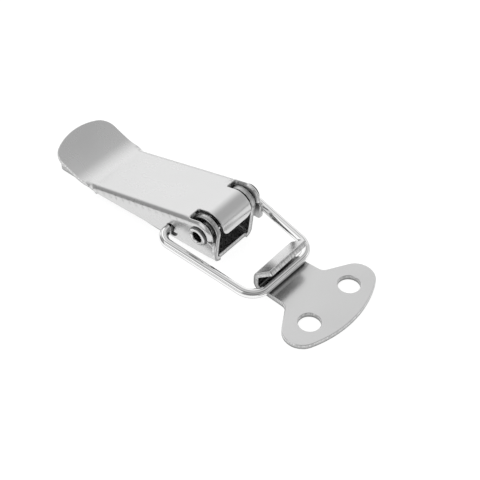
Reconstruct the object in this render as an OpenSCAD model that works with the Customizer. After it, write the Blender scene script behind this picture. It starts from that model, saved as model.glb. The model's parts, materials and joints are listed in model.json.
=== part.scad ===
// Over centre toggle latch in plated sheet steel and round wire.
// A base with two ears carries a tubular rivet, the lever turns on the rivet,
// and a wire bail hung in the lever pulls on the hook of a separate catch plate.
// Modelled closed. X runs from the lever's tail to the catch, Y across, Z up.
// The origin lies under the middle of the whole latch, on the mounting face.

/* [Base plate] */
// Thickness of the base sheet
base_t = 1.1; // [0.8:0.1:1.3]
// Width of the base across the outside of its ears
base_w = 11.7; // [11:0.1:12.4]
// Length of the base behind the rivet axis
base_tail = 42.7; // [36:0.5:46]
// Length of the base plate in front of the rivet axis
base_nose = 1.9; // [1:0.1:3]
// Corner radius at the tail of the base
base_corner_r = 1.6; // [0.5:0.1:4]
// Inside radius of the fold between plate and ears
base_fold_r = 0.7; // [0.4:0.1:1.2]
// Height of the rivet axis over the mounting face
axis_h = 8.3; // [8:0.1:9]
// Radius of the round ear tops about the rivet axis
ear_r = 3.1; // [2.7:0.1:3.2]
// Front edge of the ears at their foot, ahead of the rivet axis
ear_front = 2.3; // [1.9:0.1:2.8]
// Back edge of the ears at their foot, behind the rivet axis
ear_back = 9.5; // [7:0.1:12]
// Back end of the ears' shoulder, behind the rivet axis
ear_shoulder = 5.4; // [4:0.1:6.5]
// Length of the relief cut behind the folds
fold_relief = 1.2; // [0.8:0.1:2]

/* [Screw holes] */
// Diameter of the screw holes in the base
base_hole_d = 4.5; // [3.2:0.1:5]
// First base hole behind the rivet axis
base_hole_x = 14; // [12.5:0.5:18]
// Distance between the two base holes
base_hole_pitch = 20; // [14:0.5:22]
// Diameter of the screw holes in the catch plate
catch_hole_d = 4.5; // [3.2:0.1:5]
// Distance between the two catch holes
catch_hole_pitch = 12.6; // [11.5:0.1:13.5]

/* [Rivet] */
// Outside diameter of the rivet's shank
rivet_d = 3.3; // [2.9:0.1:3.5]
// Bore of the tubular rivet
rivet_bore = 2.3; // [1.6:0.1:2.4]
// Diameter of the rolled rivet ends
rivet_head_d = 4.3; // [3.9:0.1:4.8]
// Height of the rolled rivet ends
rivet_head_h = 0.6; // [0.4:0.05:0.7]

/* [Lever] */
// Thickness of the lever sheet
lever_t = 1.0; // [0.8:0.1:1.1]
// Width of the lever over its flanges
lever_w = 15.7; // [15.5:0.1:15.9]
// Slope of the lever's top when it is closed, in degrees
lever_slope = 15.7; // [14.6:0.1:16.2]
// Distance from the rivet axis to the lever's top, also the nose radius
nose_r = 3.5; // [3.4:0.05:3.8]
// Outside radius of the folds along the lever's sides
lever_fold_r = 1.6; // [1.2:0.1:2]
// Distance from the rivet axis back to the kink before the finger tail
kink_back = 30.4; // [28:0.2:33]
// Depth of the cheeks under the rivet axis at the front
cheek_low = 4.4; // [3.6:0.1:4.8]
// Depth of the flanges' lower edge under the rivet axis at the kink
flange_low = 6.35; // [6:0.05:6.6]
// Corner radius at the foot of the cheeks
cheek_corner_r = 0.7; // [0.3:0.1:1.5]
// Radius of the bend at the kink, on top
kink_r = 6; // [2:0.5:9]
// Rise of the tail just behind the kink, in degrees
tail_rise = 19; // [12:0.5:22]
// Radius of the curled tail, on top
tail_r = 60; // [40:1:80]
// Angle through which the tail curls up, in degrees
tail_sweep = 9; // [6:0.2:12]
// Corner radius of the tail's end
tail_corner_r = 4; // [2:0.1:5]
// Bow of the tail's end
tail_bow = 0.8; // [0.4:0.1:1.5]
// Width of the tongue between the two slots
tongue_w = 8.4; // [7.8:0.1:8.8]
// Width of each slot
slot_w = 2.65; // [2.3:0.05:2.8]
// Length of the slots behind the square foot of the rivet axis
slot_back = 2.2; // [2.1:0.1:4]
// Angle by which the tongue wraps past the front, in degrees
tongue_wrap = 18; // [10:1:30]
// Corner radius of the tongue's end
tongue_corner_r = 1.8; // [0.8:0.1:2.5]
// Angle by which the shoulders wrap past the front, in degrees
shoulder_wrap = 6; // [2:1:12]

/* [Wire bail] */
// Diameter of the wire
wire_d = 2.0; // [1.6:0.1:2.1]
// Distance of the bail's pivot behind the rivet axis
pivot_back = 7.2; // [6.8:0.1:7.8]
// Depth of the bail's pivot under the rivet axis
pivot_low = 3.0; // [2.6:0.1:3.2]
// Length of the bail from its pivot to the middle of its bar
bail_len = 23.4; // [21:0.1:26]
// Distance between the middles of the arms at the pivot
bail_w_back = 22.4; // [20.8:0.1:23]
// Distance between the middles of the arms at the bar
bail_w_front = 17.6; // [17:0.1:20]
// Radius of the front bends, at the middle of the wire
bail_bend_r = 3.0; // [2.4:0.1:3.1]
// Radius of the bends into the lever, at the middle of the wire
hook_in_r = 1.6; // [1.3:0.1:1.9]
// Length of the wire's ends inside the lever
wire_end = 0.6; // [0.4:0.05:0.7]

/* [Catch plate] */
// Thickness of the catch sheet
catch_t = 1.2; // [1:0.1:1.4]
// Overall width of the catch plate
catch_w = 25; // [23:0.5:28]
// Radius of the round lobes
lobe_r = 3.9; // [3.6:0.1:4.4]
// Width of the neck
neck_w = 11.7; // [11:0.1:12]
// Width of the hook's lip
lip_w = 11.1; // [10:0.1:11.6]
// Distance from the hook's wall to the row of screw holes
hole_reach = 13.25; // [12.5:0.05:16]
// Bow of the front edge between the lobes
front_bow = 1.9; // [1.2:0.05:2.4]
// Slant of the plate's back edges between neck and lobes, in degrees
shoulder_slant = 59; // [52:1:64]
// Fillet between neck and plate
neck_fillet = 1.6; // [0.8:0.1:2.2]
// Height of the hook's wall up to its upper bend, inside
wall_h = 3.1; // [2.9:0.1:3.6]
// Slope of the hook's lip, in degrees
lip_slope = 40; // [34:1:44]
// Length of the lip's straight part
lip_len = 4.2; // [3.4:0.1:5]
// Inside radius of the hook's lower bend
hook_low_r = 0.4; // [0.3:0.1:0.6]
// Inside radius of the hook's upper bend
hook_top_r = 0.8; // [0.5:0.1:1.2]
// Corner radius of the lip's end
lip_corner_r = 1.1; // [0.5:0.1:2]
// Free space between the bar and the hook's wall, for the swing past centre
bar_play = 1.8; // [1.7:0.05:2.1]

/* [Fits] */
// Radial clearance of a part that turns on another
running_fit = 0.05; // [0.03:0.01:0.1]
// Radial clearance of the rivet in the base ears
ear_fit = 0.02; // [0.01:0.01:0.04]
// Gap between faces that rest on each other across a joint
rest_gap = 0.1; // [0.05:0.01:0.2]

/* [Hidden] */
$fn = 96;

wire_r = wire_d / 2;
bar_h = catch_t + wire_r + rest_gap;
pivot_h = axis_h - pivot_low;
bail_tilt = asin((pivot_h - bar_h) / bail_len);
bar_x = bail_len * cos(bail_tilt) - pivot_back;
wall_x = bar_x - wire_r - bar_play;
hole_x = wall_x + hole_reach;
lobe_y = catch_w / 2 - lobe_r;
catch_front = hole_x + lobe_r + front_bow;
lever_half = lever_w / 2;
rim = nose_r - lever_fold_r;
kink_run = (kink_back - nose_r * sin(lever_slope)) / cos(lever_slope);
kink_bend = lever_slope + tail_rise;
flange_drop = (flange_low - cheek_low) / (kink_back + nose_r);
kink_x = -kink_back - kink_r * sin(lever_slope);
curl_x = kink_x + (tail_r - kink_r) * sin(tail_rise);
tail_end = (tail_r + lever_t) * sin(tail_rise + tail_sweep) - curl_x;
back_end = max(base_tail, tail_end);
mid_x = (catch_front - back_end) / 2;
plate_y = base_w / 2;
ear_in = plate_y - base_t;
rivet_half = lever_half + rest_gap + rivet_head_h;
slot_in = tongue_w / 2;
big = 100;
// Overlap of two curves that run into each other, in millimetres
seam = 0.01;
// Angle under the front at which the ears' round tops meet their front edge
ear_turn = 20;

// Puts a drawing made in X and Z upright, thick across Y and centred.
module across(width) {
    rotate([90, 0, 0])
        translate([0, 0, -width / 2])
            linear_extrude(width) children();
}

// Turns a drawing (distance from the axis, place along it) about an axis along Y,
// starting at an angle that is measured from +X towards +Z.
module about_y(start, turn) {
    rotate([90, 0, 0])
        rotate([0, 0, start])
            rotate_extrude(angle = turn) children();
}

// What a square corner loses when it is rounded. The corner is at the origin
// and the metal lies towards +X and +Y.
module corner_off(r) {
    difference() {
        translate([-r, -r]) square(2 * r);
        translate([r, r]) circle(r);
        translate([r, -r]) square(2 * r);
        translate([-r, r]) square(2 * r);
    }
}

// A drawing together with its mirror image across the middle line.
module both_halves() {
    children();
    mirror([0, 1, 0]) children();
}

// Base plate

module ear_outline() {
    slope_x = sin(lever_slope);
    slope_z = cos(lever_slope);
    ledge = nose_r - lever_t - rest_gap;
    back_run = (ear_shoulder - ledge * slope_x) / slope_z;
    difference() {
        union() {
            circle(ear_r);
            polygon([
                (ear_r - seam) * [cos(ear_turn), -sin(ear_turn)],
                [ear_front, base_fold_r + base_t - axis_h],
                [-ear_back, base_fold_r + base_t - axis_h],
                [-ear_shoulder, ledge * slope_z - back_run * slope_x],
                [-ledge * slope_x, ledge * slope_z]
            ]);
        }
        circle(d = rivet_d + 2 * ear_fit);
    }
}

module ear_fold() {
    fold_out = base_fold_r + base_t;
    fold_len = ear_back + ear_front;
    intersection() {
        translate([-ear_back, plate_y - fold_out, fold_out])
            rotate([0, 90, 0])
                difference() {
                    cylinder(h = fold_len, r = fold_out);
                    translate([0, 0, -1]) cylinder(h = fold_len + 2, r = base_fold_r);
                }
        translate([-ear_back, plate_y - fold_out, 0]) cube([fold_len, fold_out, fold_out]);
    }
}

module base_outline() {
    fold_out = base_fold_r + base_t;
    wide_end = ear_back + fold_relief;
    difference() {
        translate([-base_tail, -plate_y]) square([base_tail - wide_end, base_w]);
        both_halves() translate([-base_tail, -plate_y]) corner_off(base_corner_r);
        for (i = [0, 1])
            translate([-base_hole_x - i * base_hole_pitch, 0]) circle(d = base_hole_d);
    }
    translate([-wide_end, fold_out - plate_y])
        square([wide_end + base_nose, base_w - 2 * fold_out]);
}

module base_plate() {
    color("gainsboro")
    translate([-mid_x, 0, 0]) {
        linear_extrude(base_t) base_outline();
        both_halves() {
            translate([0, plate_y - base_t / 2, axis_h]) across(base_t) ear_outline();
            ear_fold();
        }
    }
}

// Rivet

module rivet_profile() {
    head_r = rivet_head_d / 2;
    bore_r = rivet_bore / 2;
    roll = rivet_head_h / 2;
    translate([bore_r, 0]) square([rivet_d / 2 - bore_r, rivet_half - roll]);
    translate([bore_r + roll, rivet_half - rivet_head_h])
        square([head_r - bore_r - 2 * roll, rivet_head_h]);
    translate([head_r - roll, rivet_half - roll]) circle(roll);
    translate([bore_r + roll, rivet_half - roll]) circle(roll);
}

module pivot_rivet() {
    color("silver")
    translate([-mid_x, 0, axis_h])
        rotate([90, 0, 0])
            rotate_extrude() {
                rivet_profile();
                mirror([0, 1]) rivet_profile();
            }
}

// Lever

module channel_section() {
    inner_r = lever_fold_r - lever_t;
    flat = lever_half - lever_fold_r;
    difference() {
        union() {
            translate([rim, -flat]) square([lever_fold_r, 2 * flat]);
            both_halves()
                intersection() {
                    translate([rim, flat]) circle(lever_fold_r);
                    translate([rim, flat]) square(lever_fold_r);
                }
        }
        translate([rim - 1, -flat]) square([inner_r + 1, 2 * flat]);
        both_halves() translate([rim, flat]) circle(inner_r);
    }
}

module cheek_outline() {
    slope_x = sin(lever_slope);
    slope_z = cos(lever_slope);
    step_z = -nose_r * sin(shoulder_wrap);
    foot = [-rim * slope_x, rim * slope_z];
    back = [foot[0] - kink_run * slope_z, foot[1] - kink_run * slope_x];
    difference() {
        union() {
            circle(rim);
            polygon([
                foot,
                back,
                [back[0], -axis_h],
                [nose_r, -axis_h],
                [nose_r, step_z],
                [0, step_z]
            ]);
        }
        circle(d = rivet_d + 2 * running_fit);
        translate([-pivot_back, -pivot_low]) circle(d = wire_d + 2 * running_fit);
    }
}

// Everything under the straight lower edge of the two flanges.
module under_flange() {
    far = kink_back + 2 * nose_r;
    polygon([
        [far, -cheek_low + (far - nose_r) * flange_drop],
        [-far, -flange_low - (far - kink_back) * flange_drop],
        [-far, -big],
        [far, -big]
    ]);
}

// What the cheek's lower front corner loses when it is rounded.
module cheek_corner() {
    r = cheek_corner_r;
    tilt = atan(flange_drop);
    translate([nose_r - r, r / cos(tilt) - cheek_low - r * flange_drop])
        difference() {
            polygon([[0, 0], [2 * r, 0], [2 * r, -2 * r], 2 * r * [sin(tilt), -cos(tilt)]]);
            circle(r + seam);
        }
}

module lever_slots() {
    both_halves() {
        translate([-slot_back, slot_in, 0])
            cube([slot_back + 2 * nose_r, slot_w, 2 * nose_r]);
        translate([0, slot_in, -2 * nose_r])
            cube([2 * nose_r, slot_w, 3 * nose_r]);
    }
}

module tongue_end() {
    wrap = lever_slope + tongue_wrap;
    intersection() {
        about_y(90, -90 - wrap)
            translate([nose_r - lever_t, -slot_in]) square([lever_t, tongue_w]);
        rotate([0, wrap, 0])
            rotate([90, 0, 90])
                linear_extrude(2 * nose_r)
                    difference() {
                        translate([-slot_in, 0]) square([tongue_w, 2 * nose_r]);
                        translate([-slot_in, 0]) corner_off(tongue_corner_r);
                        translate([slot_in, 0]) mirror([1, 0]) corner_off(tongue_corner_r);
                    }
    }
}

// Sheet curled upwards. It starts at the origin, heading towards -X, with its top
// face at the height of the origin, and what follows is placed at its end.
module curl_up(r, angle) {
    translate([0, 0, -lever_t / 2])
        rotate([90, 0, 0])
            cylinder(h = lever_w, d = lever_t + 2 * seam, center = true);
    translate([0, 0, r]) {
        about_y(-90, -angle)
            translate([r, -lever_half]) square([lever_t, lever_w]);
        rotate([0, angle, 0])
            translate([0, 0, -r]) children();
    }
}

function arc(centre, r, from, to, steps) =
    [for (i = [0:steps]) centre + r * [cos(from + (to - from) * i / steps),
                                       sin(from + (to - from) * i / steps)]];

// Outline of the tail's end, seen square to the sheet, with the end at the origin.
module tail_plan() {
    corner_x = tail_corner_r + tail_bow;
    corner_y = lever_half - tail_corner_r;
    behind = (corner_y * corner_y - tail_bow * tail_bow) / (2 * tail_bow);
    bow_r = corner_x + behind;
    spread = atan(corner_y / behind);
    translate([0, 0, -2 * lever_t])
        linear_extrude(tail_r)
            polygon(concat(
                [[corner_x + tail_r, -lever_half]],
                arc([corner_x, -corner_y], tail_corner_r, 270, 180 + spread, 10),
                arc([bow_r, 0], bow_r, 180 + spread, 180 - spread, 12),
                arc([corner_x, corner_y], tail_corner_r, 180 - spread, 90, 10),
                [[corner_x + tail_r, lever_half]]
            ));
}

module lever_tail() {
    intersection() {
        curl_up(kink_r, kink_bend) curl_up(tail_r, tail_sweep);
        translate([0, 0, kink_r])
            rotate([0, kink_bend, 0])
                translate([0, 0, tail_r - kink_r])
                    rotate([0, tail_sweep, 0])
                        translate([0, 0, -tail_r]) tail_plan();
    }
}

module lever() {
    color("whitesmoke")
    translate([-mid_x, 0, axis_h]) {
        difference() {
            rotate([0, -lever_slope, 0])
                difference() {
                    union() {
                        rotate([0, -90, 0]) linear_extrude(kink_run) channel_section();
                        about_y(90, -90 - lever_slope - shoulder_wrap) channel_section();
                    }
                    lever_slots();
                }
            across(lever_w + 2) under_flange();
        }
        rotate([0, -lever_slope, 0]) {
            tongue_end();
            translate([-kink_run, 0, nose_r]) lever_tail();
        }
        both_halves()
            translate([0, lever_half - lever_t / 2, 0])
                across(lever_t)
                    difference() {
                        cheek_outline();
                        under_flange();
                        cheek_corner();
                    }
    }
}

// Wire bail

// Straight wire from the origin along X. What follows is placed at its end.
module wire_run(len) {
    rotate([0, 90, 0]) cylinder(h = len, r = wire_r);
    translate([len, 0, 0]) children();
}

// Ball at the seam between two stretches of wire, its poles inside the wire.
module wire_seam() {
    rotate([0, 90, 0]) sphere(wire_r + seam);
}

// Wire bent to the left from the origin. What follows is placed at its end.
module wire_bend(r, angle) {
    wire_seam();
    translate([0, r, 0]) {
        rotate([0, 0, -90]) rotate_extrude(angle = angle) translate([r, 0]) circle(wire_r);
        rotate([0, 0, angle])
            translate([0, -r, 0]) {
                wire_seam();
                children();
            }
    }
}

module half_bail() {
    half_back = bail_w_back / 2;
    taper = atan((half_back - bail_w_front / 2) / bail_len);
    front_y = bail_w_front / 2 - bail_bend_r * tan(45 - taper / 2);
    arm = bail_len / cos(taper) - bail_bend_r * tan(45 - taper / 2) - hook_in_r * tan(45 + taper / 2);
    tip_y = lever_half - lever_t - wire_end;
    end_len = half_back - hook_in_r * tan(45 + taper / 2) - tip_y;
    translate([bail_len, 0, 0])
        rotate([0, 0, 90])
            wire_run(front_y)
                wire_bend(bail_bend_r, 90 - taper)
                    wire_run(arm)
                        wire_bend(hook_in_r, 90 + taper)
                            wire_run(end_len);
}

module wire_bail() {
    color("silver")
    translate([-mid_x - pivot_back, 0, pivot_h])
        rotate([0, bail_tilt, 0])
            both_halves() half_bail();
}

// Catch plate

// Sector about the middle of the bowed front edge, between the two lobes.
module front_sector() {
    behind = (lobe_y * lobe_y - front_bow * front_bow) / (2 * front_bow);
    bow_r = lobe_r + front_bow + behind;
    translate([catch_front - seam - bow_r, 0])
        intersection() {
            circle(bow_r, $fn = 4 * $fn);
            polygon([[0, 0], [2 * behind, 2 * lobe_y], [2 * behind, -2 * lobe_y]]);
            translate([behind, -catch_w / 2]) square([bow_r, catch_w]);
        }
}

module catch_outline() {
    neck_y = neck_w / 2;
    start_x = wall_x + hook_low_r;
    slant = [cos(shoulder_slant), sin(shoulder_slant)];
    inward = [slant[1], -slant[0]];
    touch = [hole_x, lobe_y] - (lobe_r - seam) * inward;
    corner = [touch[0] - (touch[1] - neck_y) / tan(shoulder_slant), neck_y];
    centre = [corner[0] - neck_fillet * tan(shoulder_slant / 2), neck_y + neck_fillet];
    difference() {
        union() {
            front_sector();
            both_halves() {
                translate([hole_x, lobe_y])
                    intersection() {
                        circle(lobe_r);
                        translate([-lobe_r - 1, 0]) square(2 * lobe_r + 2);
                    }
                polygon([
                    [start_x, 0],
                    [start_x, lip_w / 2],
                    [centre[0], neck_y],
                    corner,
                    touch,
                    [hole_x, lobe_y],
                    [hole_x, 0]
                ]);
                difference() {
                    polygon([centre, [centre[0], 0], centre + 2 * neck_fillet * inward]);
                    translate(centre) circle(neck_fillet + seam);
                }
            }
        }
        both_halves() translate([hole_x, catch_hole_pitch / 2]) circle(d = catch_hole_d);
    }
}

module catch_hook() {
    lip_y = lip_w / 2;
    translate([wall_x + hook_low_r, 0, catch_t + hook_low_r])
        about_y(180, 90)
            translate([hook_low_r, -lip_y]) square([catch_t, lip_w]);
    translate([wall_x - catch_t, -lip_y, catch_t + hook_low_r])
        cube([catch_t, lip_w, wall_h - catch_t - hook_low_r]);
    translate([wall_x + hook_top_r, 0, wall_h]) {
        about_y(180, lip_slope - 90)
            translate([hook_top_r, -lip_y]) square([catch_t, lip_w]);
        rotate([0, -lip_slope, 0])
            translate([0, 0, hook_top_r])
                linear_extrude(catch_t)
                    difference() {
                        translate([0, -lip_y]) square([lip_len, lip_w]);
                        both_halves()
                            translate([lip_len, -lip_y])
                                mirror([1, 0]) corner_off(lip_corner_r);
                    }
    }
}

module catch_plate() {
    color("silver")
    translate([-mid_x, 0, 0]) {
        linear_extrude(catch_t) catch_outline();
        catch_hook();
    }
}

base_plate();
lever();
pivot_rivet();
wire_bail();
catch_plate();
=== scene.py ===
import json
import math
import bpy
import numpy as np
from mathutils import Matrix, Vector
from mathutils.geometry import delaunay_2d_cdt


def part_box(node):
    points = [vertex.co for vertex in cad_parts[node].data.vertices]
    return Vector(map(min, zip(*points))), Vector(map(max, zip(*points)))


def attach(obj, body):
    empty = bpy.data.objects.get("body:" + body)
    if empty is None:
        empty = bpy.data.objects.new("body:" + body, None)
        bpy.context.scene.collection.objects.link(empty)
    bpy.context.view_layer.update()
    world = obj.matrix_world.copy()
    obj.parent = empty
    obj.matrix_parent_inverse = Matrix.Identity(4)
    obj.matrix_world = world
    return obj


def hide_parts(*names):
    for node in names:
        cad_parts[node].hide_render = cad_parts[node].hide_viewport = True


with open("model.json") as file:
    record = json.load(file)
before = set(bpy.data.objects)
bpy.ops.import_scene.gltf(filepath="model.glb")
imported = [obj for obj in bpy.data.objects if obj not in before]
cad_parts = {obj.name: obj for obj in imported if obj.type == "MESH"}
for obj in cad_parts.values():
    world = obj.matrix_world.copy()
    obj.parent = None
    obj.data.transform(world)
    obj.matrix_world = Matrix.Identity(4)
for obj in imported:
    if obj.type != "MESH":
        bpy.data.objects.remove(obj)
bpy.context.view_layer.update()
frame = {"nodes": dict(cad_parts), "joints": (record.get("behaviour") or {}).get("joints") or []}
jointPlaces = {joint["name"]: np.array(joint["pos_m"]) * 1000 for joint in frame["joints"]}  # millimetres
print("frame loaded:", ", ".join(sorted(frame["nodes"])))


# Camera, set where the photograph was taken from. Angles in degrees, lengths in metres.
cameraSetup = {
    "target": (0.0071119, 0.00267, 0.0),
    "azimuth": 40.1,
    "elevation": 45.78,
    "distance": 0.22908,
    "lens": 84.32,
    "clip": (0.01, 10),
}


def makeCamera(setup):
    azimuth = math.radians(setup["azimuth"])
    elevation = math.radians(setup["elevation"])
    back = Vector((math.sin(azimuth) * math.cos(elevation),
                   -math.cos(azimuth) * math.cos(elevation),
                   math.sin(elevation)))
    data = bpy.data.cameras.new("camera")
    data.lens = setup["lens"]
    data.clip_start, data.clip_end = setup["clip"]
    camera = bpy.data.objects.new("camera", data)
    camera.location = Vector(setup["target"]) + back * setup["distance"]
    camera.rotation_mode = "QUATERNION"
    camera.rotation_quaternion = (-back).to_track_quat("-Z", "Y")
    bpy.context.collection.objects.link(camera)
    bpy.context.scene.camera = camera
    print("camera placed")


makeCamera(cameraSetup)


# Shader maths: a socket that takes part in plain expressions.
class Value:
    def __init__(self, net, socket):
        self.net, self.socket = net, socket

    def maths(self, operation, *values):
        return self.net.add("ShaderNodeMath", {"operation": operation}, values)

    def __add__(self, other):
        return self.maths("ADD", self, other)

    def __sub__(self, other):
        return self.maths("SUBTRACT", self, other)

    def __rsub__(self, other):
        return self.maths("SUBTRACT", other, self)

    def __mul__(self, other):
        return self.maths("MULTIPLY", self, other)

    __radd__ = __add__
    __rmul__ = __mul__


class Net:
    # The nodes of one material or world.
    def __init__(self, owner):
        owner.use_nodes = True
        self.tree = owner.node_tree
        self.tree.nodes.clear()

    def add(self, kind, settings=None, inputs=(), output=0):
        # Settings are the node's own. Inputs are values or links for its sockets, by place or by name.
        node = self.tree.nodes.new(kind)
        for name, value in (settings or {}).items():
            setattr(node, name, value)
        pairs = inputs.items() if isinstance(inputs, dict) else enumerate(inputs)
        for name, value in pairs:
            if isinstance(value, Value):
                self.tree.links.new(value.socket, node.inputs[name])
            else:
                node.inputs[name].default_value = value
        return Value(self, node.outputs[output]) if len(node.outputs) else node

    def parts(self, vector):
        split = self.add("ShaderNodeSeparateXYZ", {}, (vector,)).socket.node
        return [Value(self, socket) for socket in split.outputs]

    def noise(self, place, stretch, detail=2):
        # Soft random tones around 0.5, finer where stretch is larger.
        spread = self.add("ShaderNodeMapping", {}, {"Vector": place, "Scale": stretch})
        return self.add("ShaderNodeTexNoise", {}, {"Vector": spread, "Scale": 1, "Detail": detail})

    def smooth(self, value, low, high):
        # 0 before low, 1 past high, with a soft start and end. Low may be the larger of the two.
        return self.add("ShaderNodeMapRange", {"interpolation_type": "SMOOTHSTEP"},
                        {"Value": value, "From Min": low, "From Max": high})


# Studio: a pale floor and a sky of soft light, brighter on the left, with a dark room in front
# of the object where one soft box stands, and a dark strip along the horizon. The levels are
# strengths of light, and the shares dim what is there. Wide, high and edge are ranges of the x, z
# and y of the direction that is looked in: a pair is a soft rise, and four numbers are a rise and
# a fall. The camera itself sees plain white behind the floor.
studio = {
    "floorSize": 6.0,
    "floorTone": 0.3,
    "floorGlow": 0.89,
    "leftLevel": 1.22,
    "rightLevel": 0.57,
    "rightWide": (-0.8, 0.15),
    "rightHigh": (0.25, 0.6),
    "farWide": (0.55, 0.8),
    "farShare": 0.6,
    "roomEdge": (-0.35, 0.05),
    "roomLevel": 0.38,
    "boxWide": (-0.52, -0.46, 0.1, 0.2),
    "boxHigh": (0.14, 0.2, 0.86, 0.92),
    "boxLevel": 1.15,
    "horizonHigh": (0.0, 0.04, 0.08, 0.16),
    "horizonShare": 0.35,
    "seenLevel": 1,
}


def makeWorld(setup):
    world = bpy.data.worlds.new("studio")
    bpy.context.scene.world = world
    net = Net(world)
    direction = net.add("ShaderNodeTexCoord", output="Generated")
    x, y, z = net.parts(direction)

    def band(value, rise, full, drop, end):
        return net.smooth(value, rise, full) * (1 - net.smooth(value, drop, end))

    right = net.smooth(x, *setup["rightWide"]) * net.smooth(z, *setup["rightHigh"])
    sky = setup["leftLevel"] + (setup["rightLevel"] - setup["leftLevel"]) * right
    sky = sky * (1 - (1 - setup["farShare"]) * net.smooth(x, *setup["farWide"]))
    box = band(x, *setup["boxWide"]) * band(z, *setup["boxHigh"])
    room = setup["roomLevel"] + (setup["boxLevel"] - setup["roomLevel"]) * box
    behind = net.smooth(y, *setup["roomEdge"])
    sky = sky * behind + room * (1 - behind)
    sky = sky * (1 - (1 - setup["horizonShare"]) * band(z, *setup["horizonHigh"]))
    seen = net.add("ShaderNodeLightPath", output="Is Camera Ray")
    level = sky + (setup["seenLevel"] - sky) * seen
    light = net.add("ShaderNodeBackground", {}, {"Color": (1, 1, 1, 1), "Strength": level})
    net.add("ShaderNodeOutputWorld", {}, (light,))


def makeFloor(setup):
    half = setup["floorSize"] / 2
    corners = [(-half, -half, 0), (half, -half, 0), (half, half, 0), (-half, half, 0)]
    mesh = bpy.data.meshes.new("floor")
    mesh.from_pydata(corners, [], [(0, 1, 2, 3)])
    floor = bpy.data.objects.new("floor", mesh)
    bpy.context.collection.objects.link(floor)
    material = bpy.data.materials.new("floor")
    net = Net(material)
    tone = setup["floorTone"]
    matt = net.add("ShaderNodeBsdfDiffuse", {}, {"Color": (tone, tone, tone, 1)})
    glow = net.add("ShaderNodeEmission", {}, {"Color": (1, 1, 1, 1), "Strength": setup["floorGlow"]})
    both = net.add("ShaderNodeAddShader", {}, (matt, glow))
    net.add("ShaderNodeOutputMaterial", {}, (both,))
    mesh.materials.append(material)


makeWorld(studio)
makeFloor(studio)
bpy.context.scene.view_settings.view_transform = "Standard"
print("studio made")


# Plated steel: bright nickel over pressed sheet or drawn wire. Each piece has its own tone and
# roughness for its faces and for its cut edges, and its own darkness of the streaks along a wire,
# which are drawing marks and painted dark reflection lines as well. Recess is how open to the
# light a spot has to be to keep its full tone, looked for within reach, in metres: a spot more
# closed in gets painted shade, its base colour darkened.
plating = {
    "lever": {"tone": 0.645, "rough": 0.27, "cutTone": 0.66, "cutRough": 0.26,
              "drawn": 0, "recess": 0.62, "reach": 0.003},
    "base": {"tone": 0.65, "rough": 0.2, "cutTone": 0.5, "cutRough": 0.3,
             "drawn": 0, "recess": 0.62, "reach": 0.003},
    # The rivet's dark cut tone is painted shade, laid on its bore and on the outer flanks of its heads.
    "rivet": {"tone": 0.68, "rough": 0.12, "cutTone": 0.24, "cutRough": 0.3,
              "drawn": 0, "recess": 0.3, "reach": 0.003},
    "bail": {"tone": 0.86, "rough": 0.06, "cutTone": 0.4, "cutRough": 0.35,
             "drawn": 0.6, "recess": 0.6, "reach": 0.003},
    "catch": {"tone": 0.65, "rough": 0.2, "cutTone": 0.68, "cutRough": 0.26,
              "drawn": 0, "recess": 0.9, "reach": 0.007},
}

# What every piece's plating shares. Clouds, grain and pits are noise over the whole piece. Lines
# of the punch are noise over its skin, and so are the dark streaks along a wire, which are drawing
# marks and painted dark reflection lines as well, and so is the dull torn band on the side of a cut
# edge where the punch came out. Relief is in metres.
texture = {
    "cloudScale": (140, 140, 140),
    "cloudDetail": 3,
    "grainScale": (500, 2600, 2600),
    "pitScale": (4200, 4200, 4200),
    "lineScale": (0, 4.0, 0.4),
    "lineRange": (0.38, 0.62),
    "tornRange": (0.4, 0.6),
    "tornWander": 0.5,
    "drawnScale": (0, 5.0, 5.0),
    "drawnRange": (0.46, 0.37),
    "faceTone": {"plain": 0.95, "cloud": 0.08, "grain": 0.02},
    "faceRough": {"plain": 0.84, "cloud": 0.26, "grain": 0.06},
    "cutTone": {"plain": 0.74, "lines": 0.4, "torn": 0.3},
    "tornRough": 0.2,
    "relief": {"cloud": 0.000014, "grain": 0.0000002, "pits": 0.0000001,
               "lines": 0.000003, "drawn": 0.000008},
    # The light samples, closed light and closed tone set the painted shade: recesses that ambient occlusion
    # finds closed in get a darker base colour.
    "lightSamples": 8,
    "closedLight": 0.05,
    "closedTone": 0.3,
}


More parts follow.
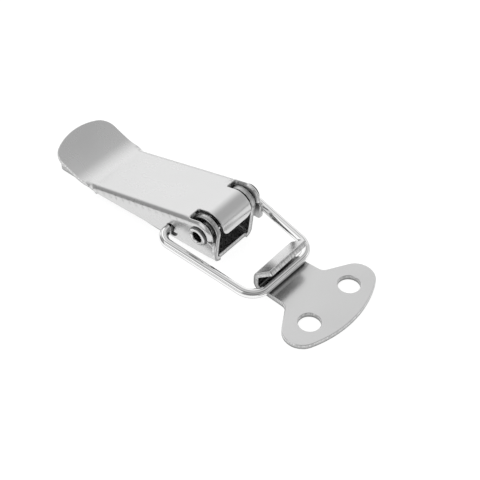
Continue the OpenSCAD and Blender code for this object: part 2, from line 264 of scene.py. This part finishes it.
def platedSteel(name, shared, tone, rough, cutTone, cutRough, drawn, recess, reach):
    material = bpy.data.materials.new(name)
    net = Net(material)
    place = net.add("ShaderNodeTexCoord", output="Object")
    skin = net.add("ShaderNodeAttribute", {"attribute_name": "skin"}, output="Vector")
    raw, _, across = net.parts(skin)
    cloud = net.noise(place, shared["cloudScale"], shared["cloudDetail"])
    grain = net.noise(place, shared["grainScale"])
    pits = net.noise(place, shared["pitScale"])
    lines = net.smooth(net.noise(skin, shared["lineScale"]), *shared["lineRange"])
    torn = net.smooth(across + shared["tornWander"] * lines, *shared["tornRange"])
    # Painted reflection, partly real: dark streaks along the wire, drawing marks that also stand in for dark
    # reflection lines.
    marks = drawn * net.smooth(net.noise(skin, shared["drawnScale"]), *shared["drawnRange"])

    def clouded(shares):
        return shares["plain"] + shares["cloud"] * cloud + shares["grain"] * grain

    face = tone * clouded(shared["faceTone"]) * (1 - marks)
    cutShares = shared["cutTone"]
    cut = cutTone * (cutShares["plain"] + cutShares["lines"] * lines) * (1 - cutShares["torn"] * torn)
    # Painted shade: the base colour darkens down to the closed tone where ambient occlusion finds a spot
    # closed in, as in slots, under the lever and inside the hook.
    light = net.add("ShaderNodeAmbientOcclusion", {"samples": shared["lightSamples"]},
                    {"Distance": reach}, "AO")
    closed = shared["closedTone"]
    opened = closed + (1 - closed) * net.smooth(light, shared["closedLight"], recess)
    level = (face + (cut - face) * raw) * opened
    dull = rough * clouded(shared["faceRough"])
    dull = dull + (cutRough + shared["tornRough"] * torn - dull) * raw
    relief = shared["relief"]
    height = relief["cloud"] * cloud + relief["grain"] * grain + relief["pits"] * pits
    height = height + relief["lines"] * lines * raw - relief["drawn"] * marks
    bump = net.add("ShaderNodeBump", {}, {"Strength": 1.0, "Distance": 1.0, "Height": height})
    steel = net.add("ShaderNodeBsdfPrincipled", {}, {
        "Base Color": level, "Metallic": 1.0, "Roughness": dull, "Normal": bump})
    net.add("ShaderNodeOutputMaterial", {}, (steel,))
    return material


materials = {name: platedSteel(name + "Plating", texture, **look) for name, look in plating.items()}
print("materials made")


# Shapes. Every length from here on is in millimetres until a mesh is stored.
def newPiece(name, points, faces, normals, skin, stands):
    # Stores the mesh with its own exact normals, and lets it ride and stand for its imported node.
    # Skin holds three numbers a point: how raw the metal is, which on the rivet is painted shade in
    # its bore and on its head flanks, and then two for the place along and across a cut edge, or round
    # the wire or the rivet.
    mesh = bpy.data.meshes.new(name)
    mesh.from_pydata((points / 1000).tolist(), [], faces)
    mesh.shade_smooth()
    mesh.normals_split_custom_set_from_vertices(normals.tolist())
    attribute = mesh.attributes.new("skin", "FLOAT_VECTOR", "POINT")
    attribute.data.foreach_set("vector", skin.astype(np.float32).ravel())
    mesh.materials.append(materials[stands["plating"]])
    piece = bpy.data.objects.new(name, mesh)
    bpy.context.collection.objects.link(piece)
    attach(piece, stands["body"])
    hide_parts(stands["node"])
    print(f"{name}: {len(points)} points, {len(faces)} faces")


def unit(vectors):
    return vectors / np.linalg.norm(vectors, axis=-1, keepdims=True)


def arc(centre, radius, start, end, step=6):
    # Points of a round stretch, from one angle to another in degrees, a point every few degrees.
    angles = np.radians(np.linspace(start, end, max(2, math.ceil(abs(end - start) / step) + 1)))
    return np.array(centre) + radius * np.column_stack([np.cos(angles), np.sin(angles)])


def hole(centre, diameter):
    # A closed ring for a round hole.
    return arc(centre, diameter / 2, 360, 0)[:-1]


def spaced(points, step):
    # The same open line with points added so that none are further apart than step.
    points = np.array(points, float)
    pieces = [np.linspace(a, b, max(1, math.ceil(np.linalg.norm(b - a) / step)), endpoint=False)
              for a, b in zip(points[:-1], points[1:])]
    return np.vstack([*pieces, points[-1:]])


def bentLine(start, heading, stretches):
    # A line in a plane made of (length, turn in degrees) stretches: straight where the turn is 0,
    # else an arc. The result gives x, y and heading at any distance along it.
    lengths = np.array([length for length, turn in stretches])
    turns = np.radians([turn for length, turn in stretches])
    marks = np.concatenate([[0], np.cumsum(lengths)])
    headings = np.radians(heading) + np.concatenate([[0], np.cumsum(turns)])[:-1]
    chords = lengths * np.sinc(turns / 2 / np.pi)
    middles = headings + turns / 2
    steps = chords[:, None] * np.column_stack([np.cos(middles), np.sin(middles)])
    places = np.array(start) + np.vstack([[0, 0], np.cumsum(steps, axis=0)])

    def along(distance):
        which = np.clip(np.searchsorted(marks, distance, side="right") - 1, 0, len(lengths) - 1)
        part = distance - marks[which]
        turned = part * turns[which] / lengths[which]
        chord = part * np.sinc(turned / 2 / np.pi)
        middle = headings[which] + turned / 2
        return (places[which, 0] + chord * np.cos(middle),
                places[which, 1] + chord * np.sin(middle),
                headings[which] + turned)

    return along, marks


# Sheet metal. A piece starts as a flat blank with its outline and holes, each point of the blank
# is placed on the folded sheet's middle surface, and the sheet then gets its thickness and rim.
def inside(points, rings):
    # Whether each point lies inside the outline and outside the holes: the line from it to the
    # right then crosses the rings an odd number of times.
    odd = np.zeros(len(points), bool)
    for ring in rings:
        a, b = ring, np.roll(ring, -1, axis=0)
        above = (a[:, 1] > points[:, None, 1]) != (b[:, 1] > points[:, None, 1])
        rise = np.where(a[:, 1] == b[:, 1], 1, b[:, 1] - a[:, 1])
        cross = a[:, 0] + (points[:, None, 1] - a[:, 1]) / rise * (b[:, 0] - a[:, 0])
        odd ^= (above & (points[:, None, 0] < cross)).sum(axis=1) % 2 == 1
    return odd


def rimDistance(points, rings):
    # Distance from each point to the nearest edge of any ring.
    near = np.full(len(points), np.inf)
    for ring in rings:
        sides = np.roll(ring, -1, axis=0) - ring
        reach = points[:, None] - ring
        along = np.clip((reach * sides).sum(axis=2) / (sides * sides).sum(axis=1), 0, 1)
        near = np.minimum(near, np.linalg.norm(reach - along[..., None] * sides, axis=2).min(axis=1))
    return near


def meshBlank(rings, across, along, clear=0.4):
    # Triangles between the rings, with a point wherever a line of across meets one of along, apart
    # from those nearer to a ring than clear.
    grid = np.array(np.meshgrid(across, along)).reshape(2, -1).T
    grid = grid[inside(grid, rings)]
    grid = grid[rimDistance(grid, rings) > clear]
    points = np.vstack([*rings, grid])
    ends = np.cumsum([len(ring) for ring in rings])
    walls = [list(range(end - len(ring), end)) for ring, end in zip(rings, ends)]
    insideOnly, tolerance = 2, 1e-7
    result = delaunay_2d_cdt([Vector(p) for p in points.tolist()], [], walls, insideOnly, tolerance)
    triangles, origins = result[2], result[3]
    return points[[same[0] for same in origins]], np.array(triangles)


def foldBlank(flat, triangles, place, reach=1e-4):
    # Middle surface of the folded sheet. Its normals are the cross products of small steps on it.
    u, v = flat.T
    normals = unit(np.cross(place(u + reach, v) - place(u - reach, v),
                            place(u, v + reach) - place(u, v - reach)))
    return place(u, v), normals, triangles


def joined(parts, decimals=4):
    # Several middle surfaces sewn into one where their points meet.
    points = np.vstack([part[0] for part in parts])
    normals = np.vstack([part[1] for part in parts])
    starts = np.cumsum([0] + [len(part[0]) for part in parts[:-1]])
    triangles = np.vstack([part[2] + start for part, start in zip(parts, starts)])
    _, first, same = np.unique(np.round(points, decimals), axis=0, return_index=True, return_inverse=True)
    return points[first], normals[first], same.reshape(-1)[triangles]


def thickSheet(name, surface, thickness, edge, stands, steps=3, punchWay=(1.0, 0.61, 0.37), rawPower=6):
    # Both faces lie half the thickness from the middle surface. The rim is rounded by a quarter
    # circle of radius edge at each face, with a flat band between them. The rim is raw in its
    # middle, and a place on it is told along by the direction punchWay.
    points, normals, triangles = surface
    count = len(points)
    sides = np.vstack([triangles[:, [0, 1]], triangles[:, [1, 2]], triangles[:, [2, 0]]])
    keys = sides[:, 0] * count + sides[:, 1]
    backward = sides[:, 1] * count + sides[:, 0]
    rim = sides[~np.isin(keys, backward)]
    on = rim[:, 0]
    following, previous = np.zeros(count, int), np.zeros(count, int)
    following[on] = rim[:, 1]
    previous[rim[:, 1]] = on
    tangent = unit(unit(points[following[on]] - points[on]) + unit(points[on] - points[previous[on]]))
    outward = unit(np.cross(tangent, normals[on]))
    middle = points.copy()
    middle[on] -= outward * edge
    allPoints = [middle + normals * thickness / 2, middle - normals * thickness / 2]
    allNormals = [normals, -normals]
    skin = [np.zeros((2 * count, 3))]
    along = points[on] @ punchWay
    angles = np.radians(np.linspace(90, 0, steps + 1)[1:])
    turns = [(angle, 1) for angle in angles] + [(angle, -1) for angle in angles[::-1]]
    for angle, side in turns:
        out, up = np.cos(angle), np.sin(angle)
        rise = side * (thickness / 2 - edge + edge * up)
        allPoints.append(middle[on] + outward * edge * out + normals[on] * rise)
        allNormals.append(outward * out + normals[on] * side * up)
        raw = np.full(len(on), out ** rawPower)
        skin.append(np.column_stack([raw, along, np.full(len(on), -side * out)]))
    order = np.zeros(count, int)
    order[on] = np.arange(len(on))
    rows = [2 * count + k * len(on) + np.arange(len(on)) for k in range(len(turns))]
    rows = [on, *rows, on + count]
    after = order[following[on]]
    quads = [np.column_stack([a, b, b[after], a[after]]) for a, b in zip(rows[:-1], rows[1:])]
    faces = triangles.tolist() + (triangles[:, ::-1] + count).tolist() + np.vstack(quads).tolist()
    newPiece(name, np.vstack(allPoints), faces, np.vstack(allNormals), np.vstack(skin), stands)


def mirrored(half):
    # A closed outline from its half, which starts and ends on the middle line where x is 0.
    return np.vstack([half, half[-2:0:-1] * (-1, 1)])


# Lever. Across its blank runs s, and along it a, which is 0 where the slope begins, square above
# the rivet's axis, and grows towards the tail.
lever = {
    "thickness": 1.0, "width": 15.7, "slope": 15.7, "noseRadius": 3.5, "foldRadius": 1.6,
    "kinkBack": 30.4, "kinkRadius": 6, "kinkEase": 3,
    "tailRise": 19, "tailRadius": 60, "tailSweep": 9, "tailCorner": 4, "tailBow": 0.8,
    "tongueWidth": 8.4, "tongueWrap": 18, "tongueCorner": 1.8,
    "slotWidth": 2.65, "slotBack": 2.2, "slotCorner": 0.35, "shoulderWrap": 6,
    "cheekLow": 4.4, "flangeLow": 6.35, "cheekCorner": 0.7, "cheekNotch": 0.25,
    "rivetHole": 3.4, "bailHole": 2.9, "unfold": (-0.6, 2.0), "edge": 0.18,
}
# How close the points of the lever's outline and the lines of its mesh lie: steps in millimetres,
# turns in degrees, and counts.
leverMesh = {
    "frontStep": 0.6, "slotStep": 0.26, "sideStep": 0.5, "cheekStep": 1.0, "cheekFrontStep": 0.4,
    "slotTurn": 15, "bowTurn": 1, "noseTurn": 5, "rimCount": 60,
    "foldCount": 11, "topCount": 13, "noseLineTurn": 4,
    "slopeCount": 16, "slopeStop": -1, "kinkCount": 14, "tailStart": 2.4, "tailCount": 26, "clear": 0.15,
}
leverStands = {"node": "lever", "body": "lever", "slot": "lever_sheet", "plating": "lever"}


def makeLever(size, mesh):
    pivot = jointPlaces["lever_turn"]
    bailPlace = jointPlaces["bail_swing"] - pivot
    half, thick = size["width"] / 2, size["thickness"]
    slope = math.radians(size["slope"])
    sin, cos = math.sin(slope), math.cos(slope)
    noseMid = size["noseRadius"] - thick / 2
    foldMid = size["foldRadius"] - thick / 2
    flatHalf = half - size["foldRadius"]
    foldEnd = flatHalf + foldMid * math.pi / 2
    wrap = size["slope"] + 90 + size["tongueWrap"]
    front = -noseMid * math.radians(wrap)
    shoulder = -noseMid * math.radians(size["slope"] + 90 + size["shoulderWrap"])
    slopeRun = (size["kinkBack"] - size["noseRadius"] * sin) / cos
    kinkTurn = size["slope"] + size["tailRise"]
    kinkRun = (size["kinkRadius"] + thick / 2) * math.radians(kinkTurn)
    tailRun = (size["tailRadius"] + thick / 2) * math.radians(size["tailSweep"])
    # The softer kink takes its extra length from the slope and the tail beside it.
    easeRun = size["kinkEase"] * math.radians(kinkTurn)
    easeLead = size["kinkEase"] * math.tan(math.radians(kinkTurn / 2))
    tailEnd = slopeRun + kinkRun + tailRun - (2 * easeLead - easeRun)
    begin = math.radians(90 + size["slope"] - wrap)
    line, _ = bentLine(noseMid * np.array([math.cos(begin), math.sin(begin)]), 180 + size["slope"] - wrap, [
        (-front, wrap), (slopeRun - easeLead, 0), (kinkRun + easeRun, -kinkTurn),
        (tailRun - easeLead, -size["tailSweep"])])

    lastCurve = 1e-4

    def place(s, a):
        # The folds at the sides flatten out where the kink begins, but for a last trace of a curve,
        # which the divisions need.
        x, z, heading = line(a - front)
        start, end = size["unfold"]
        share = np.clip((a - slopeRun - start) / (end - start), 0, 1)
        curve = np.maximum(1 - share * share * (3 - 2 * share), lastCurve) / foldMid
        turned = np.maximum(np.abs(s) - flatHalf, 0) * curve
        across = np.minimum(np.abs(s), flatHalf) + np.sin(turned) / curve
        drop = (1 - np.cos(turned)) / curve
        return np.column_stack([pivot[0] + x - drop * np.sin(heading), np.sign(s) * across,
                                pivot[2] + z + drop * np.cos(heading)])

    fall = (size["flangeLow"] - size["cheekLow"]) / (size["kinkBack"] + size["noseRadius"])
    rim = size["noseRadius"] - size["foldRadius"]
    flangeEnd = (size["cheekLow"] + (rim * sin + size["noseRadius"]) * fall + rim * cos) / (sin - cos * fall)
    slotIn = size["tongueWidth"] / 2
    slotOut = flatHalf + foldMid * math.asin((slotIn + size["slotWidth"] - flatHalf) / foldMid)
    tongueCorner, slotCorner = size["tongueCorner"], size["slotCorner"]
    slotStop = size["slotBack"] - slotCorner
    cornerMid = half - size["tailCorner"]
    sideEnd = tailEnd - size["tailCorner"] - size["tailBow"]
    behind = (cornerMid ** 2 - size["tailBow"] ** 2) / (2 * size["tailBow"])
    bowRadius = size["tailCorner"] + size["tailBow"] + behind
    spread = math.degrees(math.atan(cornerMid / behind))
    noseSteps = np.arange(shoulder, 0, noseMid * math.radians(mesh["noseTurn"]))
    rimAlong = np.concatenate([noseSteps, np.linspace(0, flangeEnd, mesh["rimCount"])])
    right = np.vstack([
        spaced([[0, front], [slotIn - tongueCorner, front]], mesh["frontStep"]),
        arc((slotIn - tongueCorner, front + tongueCorner), tongueCorner, -90, 0)[1:],
        spaced([[slotIn, front + tongueCorner], [slotIn, slotStop]], mesh["slotStep"])[1:],
        arc((slotIn + slotCorner, slotStop), slotCorner, 180, 90, mesh["slotTurn"])[1:],
        arc((slotOut - slotCorner, slotStop), slotCorner, 90, 0, mesh["slotTurn"]),
        spaced([[slotOut, slotStop], [slotOut, shoulder], [foldEnd, shoulder]], mesh["slotStep"])[1:-1],
        np.column_stack([np.full(len(rimAlong), foldEnd), rimAlong]),
        spaced([[foldEnd, flangeEnd], [half, slopeRun], [half, sideEnd]], mesh["sideStep"])[1:],
        arc((cornerMid, sideEnd), size["tailCorner"], 0, 90 - spread)[1:],
        arc((0, tailEnd - bowRadius), bowRadius, 90 - spread, 90, mesh["bowTurn"])[1:],
    ])
    folds = np.linspace(flatHalf, foldEnd, mesh["foldCount"])
    across = np.concatenate([-folds[::-1], np.linspace(-flatHalf, flatHalf, mesh["topCount"])[1:-1], folds])
    along = np.concatenate([
        np.arange(front, 0, noseMid * math.radians(mesh["noseLineTurn"])),
        np.linspace(0, slopeRun + mesh["slopeStop"], mesh["slopeCount"]),
        np.linspace(slopeRun + size["unfold"][0], slopeRun + size["unfold"][1], mesh["kinkCount"]),
        np.linspace(slopeRun + mesh["tailStart"], tailEnd, mesh["tailCount"]),
    ])
    top = foldBlank(*meshBlank([mirrored(right)], across, along, mesh["clear"]), place)

    # Each cheek is flat and hangs on the top's rim. Its points are measured from the rivet's axis.
    corner, tilt = size["cheekCorner"], math.atan(fall)
    nose = size["noseRadius"]
    lowMid = (nose - corner, corner / math.cos(tilt) - size["cheekLow"] - corner * fall)
    rimLine = place(np.full(len(rimAlong), foldEnd), rimAlong)[:, [0, 2]] - pivot[[0, 2]]
    notchLow = nose * math.sin(math.radians(-size["shoulderWrap"])) - size["cheekNotch"]
    lowCorner = arc(lowMid, corner, math.degrees(tilt) - 90, 0)
    cheek = np.vstack([
        rimLine,
        spaced(np.vstack([rimLine[-1:], lowCorner]), mesh["cheekStep"])[1:],
        spaced([[nose, lowMid[1]], [nose, notchLow], rimLine[0]], mesh["cheekFrontStep"])[1:-1],
    ])
    holes = [hole((0, 0), size["rivetHole"]), hole(bailPlace[[0, 2]], size["bailHole"])]
    flat, triangles = meshBlank([cheek, *holes], [], [])
    cheeks = []
    for side in (-1, 1):
        points = np.column_stack([flat[:, 0] + pivot[0], np.full(len(flat), side * (half - thick / 2)),
                                  flat[:, 1] + pivot[2]])
        normals = np.tile((0.0, side, 0.0), (len(flat), 1))
        cheeks.append((points, normals, triangles[:, ::-side]))
    thickSheet("leverSheet", joined([top, *cheeks]), thick, size["edge"], leverStands)


makeLever(lever, leverMesh)


# Base plate. Along its blank runs x from the rivet's axis, and across it s.
base = {
    "thickness": 1.1, "width": 11.7, "tail": 42.7, "nose": 1.9, "corner": 1.6, "foldRadius": 0.7,
    "earRadius": 3.1, "earFront": 2.3, "earBack": 9.5, "earShoulder": 5.4, "earTurn": 20, "relief": 1.2,
    "ledge": 2.4, "slope": lever["slope"], "holeBack": 14, "holePitch": 20, "hole": 4.5,
    "rivetHole": 3.34, "edge": 0.14,
}
baseMesh = {
    "step": 0.5, "earTurn": 5, "lineStep": 0.9, "foldCount": 8, "plateLines": [-2, 0, 2], "clear": 0.25,
}
baseStands = {"node": "base_plate", "body": "mounting", "slot": "base_sheet", "plating": "base"}


def makeBase(size, mesh):
    pivot = jointPlaces["lever_turn"]
    thick, halfWidth = size["thickness"], size["width"] / 2
    foldMid = size["foldRadius"] + thick / 2
    flatHalf = halfWidth - size["foldRadius"] - thick
    foldEnd = flatHalf + foldMid * math.pi / 2
    section, _ = bentLine((0, thick / 2), 0, [(flatHalf, 0), (foldEnd - flatHalf, 90), (pivot[2], 0)])
    split = -size["earBack"] - size["relief"] / 2

    def place(x, s):
        # The plate behind the ears stays flat.
        y, z, _ = section(np.abs(s))
        plain = x < split
        y, z = np.where(plain, np.abs(s), y), np.where(plain, thick / 2, z)
        return np.column_stack([x + pivot[0], np.sign(s) * y, z])

    rise = foldEnd + pivot[2] - size["foldRadius"] - thick  # the rivet's axis on the blank
    slope = math.radians(size["slope"])
    sin, cos = math.sin(slope), math.cos(slope)
    ledgeTurn = 90 + size["slope"] + math.degrees(math.acos(size["ledge"] / size["earRadius"]))
    backRun = (size["earShoulder"] - size["ledge"] * sin) / cos
    ear = np.vstack([
        [[size["earFront"], foldEnd]],
        arc((0, rise), size["earRadius"], -size["earTurn"], ledgeTurn, mesh["earTurn"]),
        [[-size["earShoulder"], rise + size["ledge"] * cos - backRun * sin], [-size["earBack"], foldEnd]],
    ])
    wideEnd = -size["earBack"] - size["relief"]
    corner = size["corner"]
    left = spaced(np.vstack([
        [[size["nose"], 0], [size["nose"], flatHalf], [size["earFront"], flatHalf]],
        ear,
        [[-size["earBack"], flatHalf], [wideEnd, flatHalf], [wideEnd, halfWidth]],
        arc((corner - size["tail"], halfWidth - corner), corner, 90, 180),
        [[-size["tail"], 0]],
    ]), mesh["step"])
    outline = np.vstack([left, left[-2:0:-1] * (1, -1)])
    holes = [hole((-size["holeBack"] - k * size["holePitch"], 0), size["hole"]) for k in (0, 1)]
    holes += [hole((0, side * rise), size["rivetHole"]) for side in (-1, 1)]
    along = np.arange(-size["tail"], size["earFront"], mesh["lineStep"])
    folds = np.linspace(flatHalf, foldEnd, mesh["foldCount"])
    across = np.concatenate([-folds[::-1], mesh["plateLines"], folds])
    surface = foldBlank(*meshBlank([outline, *holes], along, across, mesh["clear"]), place)
    thickSheet("basePlate", surface, thick, size["edge"], baseStands)


makeBase(base, baseMesh)


# Catch plate. Across its blank runs y, and along it a, from the front edge to the end of the hook.
catch = {
    "thickness": 1.2, "width": 25, "lobeRadius": 3.9, "frontBow": 1.9, "slant": 59,
    "neck": 11.7, "neckFillet": 1.6, "lip": 11.1, "holeReach": 13.25, "hole": 4.5, "holePitch": 12.6,
    "lowRadius": 0.4, "topRadius": 0.8, "wallHeight": 3.1,
    "lipSlope": 40, "lipLength": 4.2, "lipCorner": 0.5, "edge": 0.16,
}
catchMesh = {
    "bowTurn": 1, "hookStep": 0.25, "step": 0.6, "start": 0.5,
    "flatCount": 20, "bendCount": 9, "lipCount": 5, "acrossCount": 13, "clear": 0.25,
}
catchStands = {"node": "catch_plate", "body": "mounting", "slot": "catch_sheet", "plating": "catch"}


def makeCatch(size, mesh):
    thick = size["thickness"]
    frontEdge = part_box("catch_plate")[1][0] * 1000
    lobeY = size["width"] / 2 - size["lobeRadius"]
    lobeIn = size["lobeRadius"] + size["frontBow"]
    flat = lobeIn + size["holeReach"] - size["lowRadius"]
    lowMid, topMid = size["lowRadius"] + thick / 2, size["topRadius"] + thick / 2
    line, marks = bentLine((frontEdge, thick / 2), 180, [
        (flat, 0),
        (lowMid * math.pi / 2, -90),
        (size["wallHeight"] - thick - size["lowRadius"], 0),
        (topMid * math.radians(90 - size["lipSlope"]), size["lipSlope"] - 90),
        (size["lipLength"], 0)])

    def place(y, a):
        x, z, _ = line(a)
        return np.column_stack([x, y, z])

    slant = math.radians(size["slant"])
    touch = np.array([lobeY, lobeIn]) + size["lobeRadius"] * np.array([math.cos(slant), math.sin(slant)])
    neckY = size["neck"] / 2
    neckAlong = touch[1] + (touch[0] - neckY) / math.tan(slant)
    filletMid = (neckY + size["neckFillet"], neckAlong + size["neckFillet"] * math.tan(slant / 2))
    behind = (lobeY ** 2 - size["frontBow"] ** 2) / (2 * size["frontBow"])
    spread = math.degrees(math.atan(lobeY / behind))
    lipY, end, corner = size["lip"] / 2, marks[-1], size["lipCorner"]
    right = np.vstack([
        arc((0, lobeIn + behind), lobeIn + behind, -90, spread - 90, mesh["bowTurn"]),
        arc((lobeY, lobeIn), size["lobeRadius"], spread - 90, size["slant"])[1:],
        arc(filletMid, size["neckFillet"], 180 + size["slant"], 180),
        spaced([[lipY, flat], [lipY, end - corner]], mesh["hookStep"]),
        arc((lipY - corner, end - corner), corner, 0, 90)[1:],
        [[0, end]],
    ])
    outline = mirrored(spaced(right, mesh["step"]))
    holes = [hole((side * size["holePitch"] / 2, lobeIn), size["hole"]) for side in (-1, 1)]
    across = np.linspace(-lipY, lipY, mesh["acrossCount"])
    along = np.concatenate([
        np.linspace(mesh["start"], flat, mesh["flatCount"]),
        np.linspace(marks[1], marks[2], mesh["bendCount"]),
        np.linspace(marks[3], marks[4], mesh["bendCount"]),
        np.linspace(marks[4], marks[5], mesh["lipCount"]),
    ])
    surface = foldBlank(*meshBlank([outline, *holes], across, along, mesh["clear"]), place)
    thickSheet("catchPlate", surface, thick, size["edge"], catchStands)


makeCatch(catch, catchMesh)


# Wire bail: a circle carried along a line of straight runs and bends, with its ends eased. As in
# the photograph, it lies a little askew and slack in its holes.
bail = {
    "wire": 2.0, "length": 23.4, "widthBack": 22.4, "widthFront": 17.6, "frontBend": 3.8, "backBend": 2.4,
    "endGap": 0.6, "endEase": 0.2, "tilt": 7.366, "askew": 1.5, "slack": 0.4,
}
# Counts are the steps along each stretch of the line, from the middle of the bar to an end.
bailMesh = {
    "counts": (8, 20, 20, 24, 4), "aroundTurn": 7.5, "easeTurns": (30, 60, 90), "endRaw": (0.6, 0.3, 0.0),
}
bailStands = {"node": "wire_bail", "body": "bail", "slot": "bail_wire", "plating": "bail"}


def makeBail(size, mesh, leverSize):
    pivot = jointPlaces["bail_swing"]
    radius, ease = size["wire"] / 2, size["endEase"]
    halfBack = size["widthBack"] / 2
    taper = math.atan((halfBack - size["widthFront"] / 2) / size["length"])
    turn = math.degrees(taper)
    frontCut = size["frontBend"] * math.tan(math.pi / 4 - taper / 2)
    backCut = size["backBend"] * math.tan(math.pi / 4 + taper / 2)
    tip = leverSize["width"] / 2 - leverSize["thickness"] - size["endGap"]
    line, marks = bentLine((size["length"], 0), 90, [
        (size["widthFront"] / 2 - frontCut, 0),
        (size["frontBend"] * math.radians(90 - turn), 90 - turn),
        (size["length"] / math.cos(taper) - frontCut - backCut, 0),
        (size["backBend"] * math.radians(90 + turn), 90 + turn),
        (halfBack - backCut - tip, 0)])
    stops = [np.linspace(a, b, count, endpoint=False)
             for a, b, count in zip(marks[:-1], marks[1:], mesh["counts"])]
    p, q, heading = line(np.concatenate([*stops, [marks[-1]]]))
    p = np.append(p[:0:-1], p)
    q = np.append(-q[:0:-1], q)
    heading = np.append(np.pi - heading[:0:-1], heading)

    # The line lies in a plane that is tilted down towards the catch.
    tilt = math.radians(size["tilt"])
    forward = np.array([math.cos(tilt), 0, -math.sin(tilt)])
    up = np.array([math.sin(tilt), 0, math.cos(tilt)])
    across = np.array([0.0, 1, 0])
    centres = pivot + p[:, None] * forward + q[:, None] * across
    side = np.sin(heading)[:, None] * forward - np.cos(heading)[:, None] * across
    ahead = np.cos(heading)[:, None] * forward + np.sin(heading)[:, None] * across
    around = np.radians(np.arange(0, 360, mesh["aroundTurn"]))
    outward = side[:, None] * np.cos(around)[None, :, None] + up * np.sin(around)[None, :, None]
    wall = centres[:, None] + outward * radius
    turned = np.radians(mesh["easeTurns"])[:, None, None]
    caps = []
    for sign, row in ((-1, 0), (1, -1)):
        normals = outward[row] * np.cos(turned) + sign * ahead[row] * np.sin(turned)
        inner = centres[row] + outward[row] * (radius - ease)
        caps.append((inner + normals * ease - sign * ahead[row] * ease, normals))
    wall[0] += ahead[0] * ease
    wall[-1] -= ahead[-1] * ease
    points = np.concatenate([caps[0][0][::-1], wall, caps[1][0]])
    normals = np.concatenate([caps[0][1][::-1], outward, caps[1][1]])

    askew = math.radians(size["askew"])
    sin, cos = math.sin(askew), math.cos(askew)
    yaw = np.array([[cos, -sin, 0], [sin, cos, 0], [0, 0, 1]])
    points = (points - pivot) @ yaw + pivot - (size["slack"], 0, 0)
    normals = normals @ yaw
    rows, columns = points.shape[:2]
    index = np.arange(rows * columns).reshape(rows, columns)
    after = np.roll(index, -1, axis=1)
    quads = np.stack([index[:-1], index[1:], after[1:], after[:-1]], axis=-1).reshape(-1, 4)
    faces = quads.tolist() + [index[0].tolist(), index[-1][::-1].tolist()]
    raw = np.concatenate([mesh["endRaw"], np.zeros(len(wall)), mesh["endRaw"][::-1]])
    skin = np.stack(np.broadcast_arrays(raw[:, None], np.cos(around), np.sin(around)), axis=-1).reshape(-1, 3)
    newPiece("wireBail", points.reshape(-1, 3), faces, normals.reshape(-1, 3), skin, bailStands)


makeBail(bail, bailMesh, lever)


# Rivet: a profile turned about the hinge axis. Its ends are rolled over in a flattened half
# circle. Its bore and the outer flank of its heads take painted shade: they are marked raw so that
# they get the rivet's dark cut tone, and each shaded part fades out.
rivet = {
    "shank": 3.3, "bore": 2.3, "head": 4.3, "headHeight": 0.6, "headGap": 0.1, "rollPower": 0.6,
    "rawBore": 0.1, "rawBoreFade": 0.25, "rawFlank": 0.2, "rawFlankFade": 0.14,
}
rivetMesh = {"rollCount": 17, "aroundTurn": 6}
rivetStands = {"node": "pivot_rivet", "body": "mounting", "slot": "rivet", "plating": "rivet"}


def makeRivet(size, mesh, leverSize):
    pivot = jointPlaces["lever_turn"]
    seat = leverSize["width"] / 2 + size["headGap"]
    bore, shank, head = size["bore"] / 2, size["shank"] / 2, size["head"] / 2
    middle, reach = (bore + head) / 2, (head - bore) / 2
    roll = np.radians(np.linspace(0, 180, mesh["rollCount"]))
    rise = size["headHeight"] * np.sin(roll) ** size["rollPower"]
    half = np.vstack([
        [[bore, 0]],
        np.column_stack([middle - reach * np.cos(roll), seat + rise]),
        [[shank, seat], [shank, 0]],
    ])
    profile = np.vstack([half, half[-2:0:-1] * (1, -1)])
    around = np.radians(np.arange(0, 360, mesh["aroundTurn"]))
    level = np.zeros(len(around))
    r, y = profile[:, 0, None], profile[:, 1, None]
    points = np.stack([pivot[0] + r * np.cos(around), y + level, pivot[2] + r * np.sin(around)], axis=-1)
    step = unit(np.roll(profile, -1, axis=0) - np.roll(profile, 1, axis=0))
    normals = np.stack([-step[:, 1, None] * np.cos(around), step[:, 0, None] + level,
                        -step[:, 1, None] * np.sin(around)], axis=-1)
    rows, columns = points.shape[:2]
    index = np.arange(rows * columns).reshape(rows, columns)
    onward, beside = np.roll(index, -1, axis=0), np.roll(index, -1, axis=1)
    quads = np.stack([index, beside, np.roll(onward, -1, axis=1), onward], axis=-1).reshape(-1, 4)
    # Painted shade: the bore and the outer flank of each head are marked raw, which darkens them, and each
    # fades out.
    boreShading = (bore + size["rawBore"] - r) / size["rawBoreFade"]
    flankShading = (r - head + size["rawFlank"]) / size["rawFlankFade"]
    raw = np.clip(np.maximum(boreShading, flankShading), 0, 1)
    skin = np.stack(np.broadcast_arrays(raw, y, around), axis=-1).reshape(-1, 3)
    newPiece("pivotRivet", points.reshape(-1, 3), quads.tolist(), normals.reshape(-1, 3), skin, rivetStands)


makeRivet(rivet, rivetMesh, lever)
